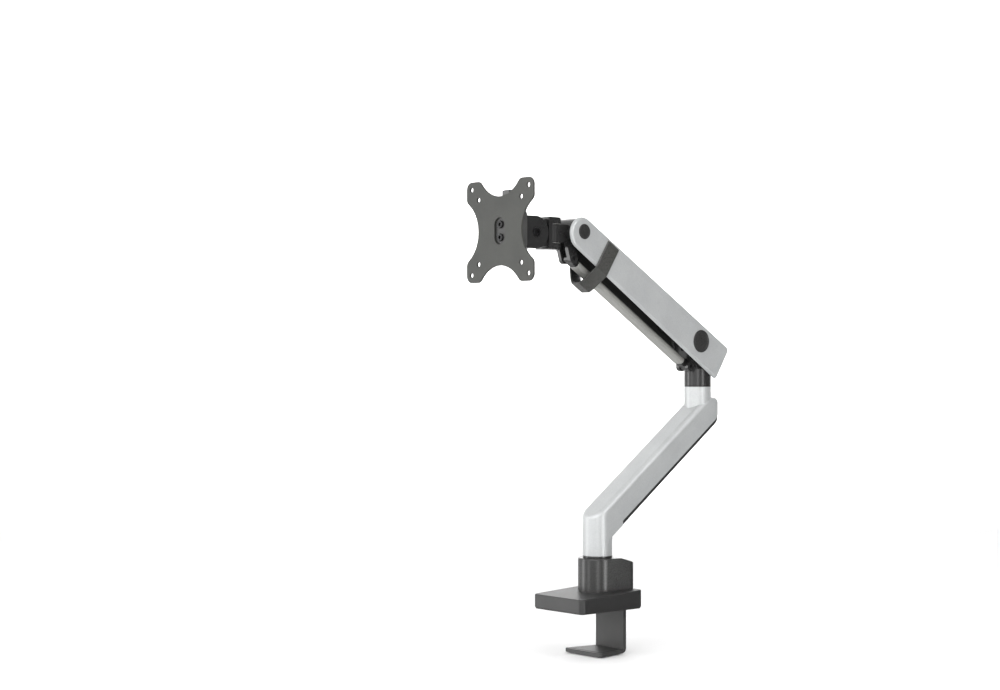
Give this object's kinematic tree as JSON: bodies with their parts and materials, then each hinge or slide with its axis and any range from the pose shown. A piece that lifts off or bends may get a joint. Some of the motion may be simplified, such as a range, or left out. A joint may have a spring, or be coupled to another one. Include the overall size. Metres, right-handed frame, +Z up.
{
  "type": "monitor arm",
  "caption": "Single monitor arm on a desk clamp: turning sloped lower arm, sprung parallelogram upper arm with cable clip, and a swivelling, tilting, turning screen plate.",
  "frame": {"origin": "On the desk surface, under the axis of the base post", "axes": "+Z up, +Y towards the desk's rear edge where the clamp hooks on, -Y towards the screen's viewer, +X to the viewer's right"},
  "size_m": [0.118, 0.3643, 0.5601],
  "materials": {
    "silver_coat": "fine silver powder coat on cast and pressed aluminium",
    "black_coat": "satin black powder coat",
    "plate_coat": "dark grey powder coat on pressed steel",
    "black_plastic": "finely textured black moulding",
    "bearing_plastic": "unpainted bearing plastic",
    "steel": "turned and plated steel",
    "pad_rubber": "soft black pad"
  },
  "bodies": {
    "base": {"base_plate": "black_coat", "base_pad": "pad_rubber", "post_housing": "black_plastic", "base_post": "steel", "thrust_washer": "black_plastic", "housing_screws": "steel"},
    "clamp": {"clamp_bracket": "black_coat", "clamp_pad": "pad_rubber", "clamp_nut": "black_coat"},
    "screw": {"clamp_screw": "steel"},
    "lower_arm": {"lower_arm": "silver_coat", "lower_bush": "bearing_plastic", "elbow_bush": "bearing_plastic", "cable_cover": "black_plastic", "elbow_ring": "black_plastic"},
    "elbow": {"elbow_bracket": "black_coat", "elbow_post": "steel", "elbow_washer": "steel", "elbow_screw": "steel", "elbow_axle": "steel", "spring_pin": "steel", "elbow_link_pin": "steel"},
    "upper_arm": {"upper_channel": "silver_coat", "elbow_bushes": "bearing_plastic", "head_bushes": "bearing_plastic", "elbow_cap_right": "black_plastic", "elbow_cap_left": "black_plastic", "head_cap_right": "black_plastic", "head_cap_left": "black_plastic", "cable_clip": "black_plastic", "spring_anchor": "black_coat", "lift_spring": "steel"},
    "link": {"lower_link": "silver_coat", "head_link_end": "black_coat", "elbow_link_end": "black_coat"},
    "rod": {"spring_rod": "steel", "spring_seat": "steel"},
    "head": {"head_bracket": "black_coat", "head_axle": "steel", "head_link_pin": "steel"},
    "fork": {"swivel_fork": "black_coat", "swivel_bolt": "steel", "swivel_washers": "bearing_plastic"},
    "tilt": {"tilt_bracket": "black_coat", "tilt_bolt": "steel", "tilt_washers": "bearing_plastic"},
    "screen": {"turn_bolt": "steel", "turn_washer": "bearing_plastic", "turn_hub": "black_coat", "release_adapter": "black_coat", "vesa_plate": "plate_coat", "plate_screws": "steel"},
    "latch": {"release_latch": "black_plastic"}
  },
  "joints": [
    {"name": "clamp_slide", "type": "slide", "parent": "base", "child": "clamp", "axis": [0, 0, 1], "range_m": [0, 0.035]},
    {"name": "clamp_turn", "type": "hinge", "parent": "base", "child": "screw", "pos_m": [0, 0.0282, 0.04], "axis": [0, 0, 1], "range_deg": [-4201, 1]},
    {"name": "base_swivel", "type": "hinge", "parent": "base", "child": "lower_arm", "pos_m": [0, 0, 0.08], "axis": [0, 0, 1], "range_deg": [-180, 180]},
    {"name": "elbow_swivel", "type": "hinge", "parent": "lower_arm", "child": "elbow", "pos_m": [0, 0.1742, 0.2555], "axis": [0, 0, 1], "range_deg": [-180, 180]},
    {"name": "arm_pitch", "type": "hinge", "parent": "elbow", "child": "upper_arm", "pos_m": [0, 0.1577, 0.3206], "axis": [-1, 0, 0], "range_deg": [-62.8, 13.5], "deforming": ["lift_spring"]},
    {"name": "link_pitch", "type": "hinge", "parent": "elbow", "child": "link", "pos_m": [0, 0.1517, 0.2891], "axis": [-1, 0, 0], "range_deg": [-63.3, 14]},
    {"name": "rod_pitch", "type": "hinge", "parent": "elbow", "child": "rod", "pos_m": [0, 0.1577, 0.3286], "axis": [-1, 0, 0], "range_deg": [-63.3, 14]},
    {"name": "head_level", "type": "hinge", "parent": "upper_arm", "child": "head", "pos_m": [0, -0.04202, 0.44931], "axis": [-1, 0, 0], "range_deg": [-14, 63.3]},
    {"name": "head_swivel", "type": "hinge", "parent": "head", "child": "fork", "pos_m": [0, -0.07362, 0.44651], "axis": [0, 0, 1], "range_deg": [-75, 75]},
    {"name": "screen_tilt", "type": "hinge", "parent": "fork", "child": "tilt", "pos_m": [0, -0.10902, 0.44651], "axis": [-1, 0, 0], "range_deg": [-30, 80]},
    {"name": "screen_turn", "type": "hinge", "parent": "tilt", "child": "screen", "pos_m": [0, -0.13002, 0.44651], "axis": [0, -1, 0], "range_deg": [-180, 180]},
    {"name": "latch_press", "type": "slide", "parent": "screen", "child": "latch", "axis": [0, 0, -1], "range_m": [0, 0.004], "stiffness_N_per_m": 400}
  ],
  "couplings": [
    {"joint": "clamp_turn", "follows": "clamp_slide", "rad_per_m": -2094.4},
    {"joint": "link_pitch", "follows": "arm_pitch", "ratio": 1},
    {"joint": "rod_pitch", "follows": "arm_pitch", "ratio": 1},
    {"joint": "head_level", "follows": "arm_pitch", "ratio": -1}
  ]
}
